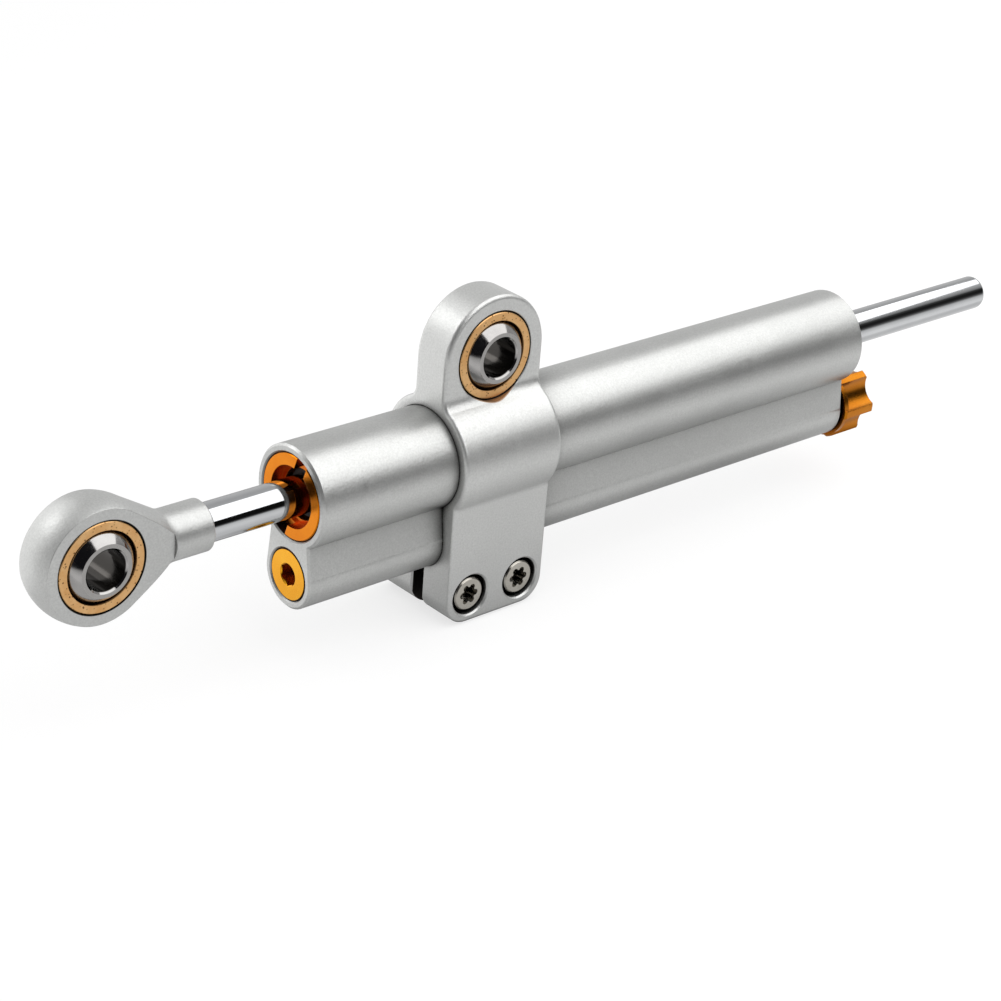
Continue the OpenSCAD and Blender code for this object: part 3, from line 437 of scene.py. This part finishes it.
def black_soft(name, tone, rough, pebble):
    """Moulded rubber or filled plastic with a fine moulded grain."""
    made, tree, shader, where = material(name, 0.0)
    place = where.outputs["Object"]
    cloud = noise(tree, place, 600, 3, 0.6)
    grit = noise(tree, place, 3000, 2, 0.5)
    colour = mixed(tree, from_noise(tree, cloud), scaled(tone, 0.7), scaled(tone, 1.4))
    socket(tree, shader.inputs["Base Color"], colour)
    socket(tree, shader.inputs["Roughness"], from_noise(tree, grit, rough - 0.06, rough + 0.06))
    socket(tree, shader.inputs["Normal"], bumped(tree, grit, pebble, 0.5))
    return made


main_centre = (0, 0, ROD_Z)
bypass_centre = (0, 0, BYPASS_Z)
clamp_centre = (0, 0, 0)
eye_centre = (EYE_X, 0, ROD_Z)

BY_SLOT = {
    "satin_aluminium": satin_aluminium(
        "casing_aluminium", CASING_ALUMINIUM, CASING_GAP, CASING_STREAKS, 0.12 * MM, rough_range=(0.33, 0.38),
    ),
    "gold_anodised": gold_anodised("gold_adjuster", bypass_centre, GLAND_TONES),
    "plain_aluminium": turned_metal("piston_aluminium", PISTON_TONES, 0.3, main_centre, "X"),
    "sintered_bronze": sintered_bronze("bronze_clamp_race", clamp_centre),
    "hard_chrome": hard_chrome("rod_chrome"),
    "bearing_steel": bearing_steel("ball_steel_clamp", clamp_centre),
    "bolt_steel": turned_metal("bolt_stainless", BOLT_TONES, 0.27, clamp_centre, "Y", BOLT_GAP),
    "plain_steel": turned_metal("plain_steel_turned", STEEL_TONES, 0.3, main_centre, "X"),
    "black_rubber": black_soft("nitrile_rubber", RUBBER_TONE, 0.55, 8e-6),
    "black_plastic": black_soft("bearing_plastic", PLASTIC_TONE, 0.42, 4e-6),
}
gold_gland = gold_anodised("gold_gland", main_centre, GLAND_TONES, deep=GLAND_RECESS_SHADE, rim=GLAND_RIM_R)
BY_NODE = {
    "clamp_bracket": satin_aluminium(
        "clamp_aluminium", CLAMP_ALUMINIUM, CLAMP_GAP, CLAMP_STREAKS, seat=clamp_centre, slot=True,
    ),
    "rod_end": satin_aluminium("rod_end_aluminium", ALUMINIUM, ROD_END_GAP, seat=eye_centre),
    "gland_left": gold_gland,
    "gland_right": gold_gland,
    "bypass_plug": gold_anodised("gold_plug", bypass_centre, PLUG_TONES, PLUG_GAP, PLUG_RECESS_SHADE, rim=PLUG_RIM_R),
    "adjuster_knob": gold_anodised("gold_knob", bypass_centre, KNOB_TONES, KNOB_GAP, KNOB_RECESS_SHADE, 0.2),
    "rod_end_race": sintered_bronze("bronze_rod_end_race", eye_centre),
    "rod_end_ball": bearing_steel("ball_steel_rod_end", eye_centre),
}
slot_of = {s["node"]: s["material_slot"] for s in frame["record"]["subparts"]}
for name, obj in nodes.items():
    obj.data.materials.clear()
    obj.data.materials.append(BY_NODE.get(name, BY_SLOT[slot_of[name]]))


# Camera at the photograph's viewing angle

camera_data = bpy.data.cameras.new("camera")
camera_data.sensor_width = 36
camera_data.lens = 91.417
camera_data.clip_start = 0.02
camera_data.clip_end = 20
camera = bpy.data.objects.new("camera", camera_data)
scene.collection.objects.link(camera)
right = Vector((0.75182, -0.65539, 0.07236))
up = Vector((0.24266, 0.37705, 0.89384))
back = -Vector((0.61310, 0.65445, -0.44251))
turn = Matrix((right, up, back)).transposed().to_4x4()
camera.matrix_world = Matrix.Translation(Vector((-305.37, -335.08, 191.28)) * MM) @ turn
scene.camera = camera


# Studio: white world and floor, one overhead softbox, and cards and a tent that only reflections see

def stage_object(name, mesh, made, height=0.0):
    """Puts a mesh of the studio with its material into the scene, at a height."""
    obj = bpy.data.objects.new(name, mesh)
    obj.location.z = height
    scene.collection.objects.link(obj)
    mesh.materials.append(made)
    return obj


def flat_mesh(name, corners):
    mesh = bpy.data.meshes.new(name)
    mesh.from_pydata(corners, [], [range(len(corners))])
    return mesh


def bare_material(name):
    """A new material, its tree and its surface input, with no shader yet."""
    made = bpy.data.materials.new(name)
    made.use_nodes = True
    tree = made.node_tree
    tree.nodes.remove(tree.nodes["Principled BSDF"])
    return made, tree, tree.nodes["Material Output"].inputs["Surface"]


def only_reflections(obj):
    obj.visible_camera = False
    obj.visible_diffuse = False
    obj.visible_transmission = False
    obj.visible_volume_scatter = False
    obj.visible_shadow = False


def seen_directly(tree):
    """1 for camera, glossy and transmission rays, and 0 for the rest."""
    path = tree.nodes.new("ShaderNodeLightPath")
    seen = math_node(tree, "MAXIMUM", path.outputs["Is Camera Ray"], path.outputs["Is Glossy Ray"])
    return math_node(tree, "MAXIMUM", seen, path.outputs["Is Transmission Ray"])


# The world is white to look at, and lights the object a little less
WORLD_LIGHT = 0.8
world = bpy.data.worlds.new("studio")
scene.world = world
world.use_nodes = True
tree = world.node_tree
background = tree.nodes["Background"]
background.inputs["Color"].default_value = (1, 1, 1, 1)
socket(tree, background.inputs["Strength"], spread(tree, seen_directly(tree), 0, 1, WORLD_LIGHT, 1.0))

# The floor is pale, takes the object's shadow, and glows only to what looks at it
FLOOR_Z = cad_low.z - 0.4 * MM
FLOOR_HALF = 4
FLOOR_GREY = 0.3
FLOOR_GLOW = 0.72
floor_material, tree, surface = bare_material("floor_white")
lit = tree.nodes.new("ShaderNodeBsdfDiffuse")
lit.inputs["Color"].default_value = (FLOOR_GREY, FLOOR_GREY, FLOOR_GREY, 1)
glow = tree.nodes.new("ShaderNodeEmission")
glow.inputs["Color"].default_value = (1, 1, 1, 1)
socket(tree, glow.inputs["Strength"], math_node(tree, "MULTIPLY", seen_directly(tree), FLOOR_GLOW))
both = tree.nodes.new("ShaderNodeAddShader")
tree.links.new(lit.outputs[0], both.inputs[0])
tree.links.new(glow.outputs[0], both.inputs[1])
tree.links.new(both.outputs[0], surface)
FLOOR = [(x * FLOOR_HALF, y * FLOOR_HALF, 0) for x, y in ((-1, -1), (1, -1), (1, 1), (-1, 1))]
floor = stage_object("floor", flat_mesh("floor", FLOOR), floor_material, FLOOR_Z)
floor.visible_glossy = False


def glowing(name, corners, strength):
    """A flat panel that glows evenly and that the camera doesn't see."""
    made, tree, surface = bare_material(name)
    glow = tree.nodes.new("ShaderNodeEmission")
    glow.inputs["Strength"].default_value = strength
    tree.links.new(glow.outputs[0], surface)
    panel = stage_object(name, flat_mesh(name, corners), made)
    panel.visible_camera = False
    return panel


# The softbox hangs level over the damper, towards its free end
SOFTBOX_Z = 0.40
SOFTBOX = [(-0.13, -0.95), (0.57, -0.93), (0.70, 0.285), (-0.13, -0.05)]
glowing("softbox", [(x, y, SOFTBOX_Z) for x, y in SOFTBOX], 1.9)

# A white card stands behind, on the left, where only reflections see it
CARD_Y = 0.9
CARD = [(-1.3, -0.75), (0.15, -0.75), (0.15, 1.2), (-1.3, 1.2)]
only_reflections(glowing("card", [(x, CARD_Y, z) for x, z in CARD], 1.25))

# A brighter panel in front of it lights the round left shoulders of both eyes
PANEL_Y = 0.88
PANEL = [(-0.95, 0.57), (-0.34, 0.57), (-0.34, 1.0), (-0.95, 1.0)]
only_reflections(glowing("card_bright", [(x, PANEL_Y, z) for x, z in PANEL], 3.3))

# Brightness of the tent around the rod's axis, by angle in degrees from the front, over the top, to the
# back. The tent's left side shows in the left part of the damper, and its right side in the rest.
TENT_LEFT = [
    (-180, 0.50), (-160, 0.46), (-144, 0.36), (-132, 0.26), (-122, 0.42), (-110, 1.0), (-100, 1.0),
    (-84, 1.0), (-72, 1.0), (-60, 0.92), (-48, 0.88), (-34, 0.86), (-22, 0.78), (-13, 0.64), (-6, 0.08),
    (0, 0.006), (24, 0.006), (36, 0.05), (46, 0.30), (62, 0.50), (90, 0.58), (118, 0.50), (130, 0.50),
    (142, 0.56), (160, 0.60), (180, 0.58),
]
TENT_RIGHT = [
    (-180, 0.58), (-158, 0.62), (-140, 0.78), (-118, 0.78), (-98, 0.71), (-74, 0.68), (-60, 0.74),
    (-50, 0.94), (-34, 0.90), (-20, 0.74), (-12, 0.62), (-2, 0.15), (8, 0.03), (22, 0.01), (36, 0.05),
    (46, 0.30), (62, 0.50), (90, 0.58), (118, 0.48), (130, 0.46), (142, 0.52), (160, 0.58), (180, 0.58),
]
TENT_R = 2.2
tent_material, tree, surface = bare_material("tent_cloth")
place = tree.nodes.new("ShaderNodeTexCoord").outputs["Object"]
across = parts_of(tree, place)
angle = math_node(tree, "ARCTAN2", across["Z"], math_node(tree, "MULTIPLY", across["Y"], -1.0))
around = spread(tree, angle, -math.pi, math.pi)
left_cloth, right_cloth = (
    ramp(tree, around, [((degrees + 180) / 360, grey) for degrees, grey in side])
    for side in (TENT_LEFT, TENT_RIGHT)
)
aim = vector_node(tree, "NORMALIZE", place).outputs["Vector"]
sideways = parts_of(tree, aim)["X"]
not_far_left = spread(tree, sideways, 0.2, 0.4)
not_right = spread(tree, sideways, 0.545, 0.605, 1.0, 0.0)
cloth = mixed(tree, math_node(tree, "MULTIPLY", not_far_left, not_right), right_cloth, left_cloth)

# The dark of the room shows up on the left, in front
ROOM = (0.012, 0.012, 0.014)
toward_room = vector_node(tree, "DOT_PRODUCT", aim)
toward_room.inputs[1].default_value = (-0.592, -0.552, 0.588)
cloth = mixed(tree, spread(tree, toward_room.outputs["Value"], 0.745, 0.81), cloth, ROOM)
glow = tree.nodes.new("ShaderNodeEmission")
socket(tree, glow.inputs["Color"], cloth)
tree.links.new(glow.outputs[0], surface)
tent_mesh = bpy.data.meshes.new("tent")
shell = bmesh.new()
bmesh.ops.create_uvsphere(shell, u_segments=64, v_segments=32, radius=TENT_R)
shell.to_mesh(tent_mesh)
shell.free()
tent = stage_object("tent", tent_mesh, tent_material, ROD_Z)
only_reflections(tent)

# What the floor under the body loses in light, for reflections only. It fades out from a line of
# half-length SHADE_LINE about SHADE_X, over SHADE_REACH.
SHADE_X = 0.03
SHADE_LINE = 0.06
SHADE_REACH = 0.07
SHADE = [(0.0, 0.42), (0.14, 0.50), (0.28, 0.70), (0.5, 0.86), (0.7, 0.95), (1.0, 1.0)]
SHADE_CORNERS = [(-0.2, -0.12, 0), (0.24, -0.12, 0), (0.24, 0.12, 0), (-0.2, 0.12, 0)]
shade_material, tree, surface = bare_material("floor_shade")
across = parts_of(tree, tree.nodes.new("ShaderNodeTexCoord").outputs["Object"])
from_middle = math_node(tree, "ABSOLUTE", math_node(tree, "SUBTRACT", across["X"], SHADE_X))
past_line = math_node(tree, "MAXIMUM", math_node(tree, "SUBTRACT", from_middle, SHADE_LINE), 0.0)
far_x = math_node(tree, "MULTIPLY", past_line, past_line)
far_y = math_node(tree, "MULTIPLY", across["Y"], across["Y"])
far = math_node(tree, "SQRT", math_node(tree, "ADD", far_x, far_y))
veil = tree.nodes.new("ShaderNodeBsdfTransparent")
socket(tree, veil.inputs["Color"], ramp(tree, spread(tree, far, 0, SHADE_REACH), SHADE))
tree.links.new(veil.outputs[0], surface)
shade = stage_object("floor_shade", flat_mesh("floor_shade", SHADE_CORNERS), shade_material, FLOOR_Z - 1 * MM)
only_reflections(shade)

scene.view_settings.view_transform = "Standard"
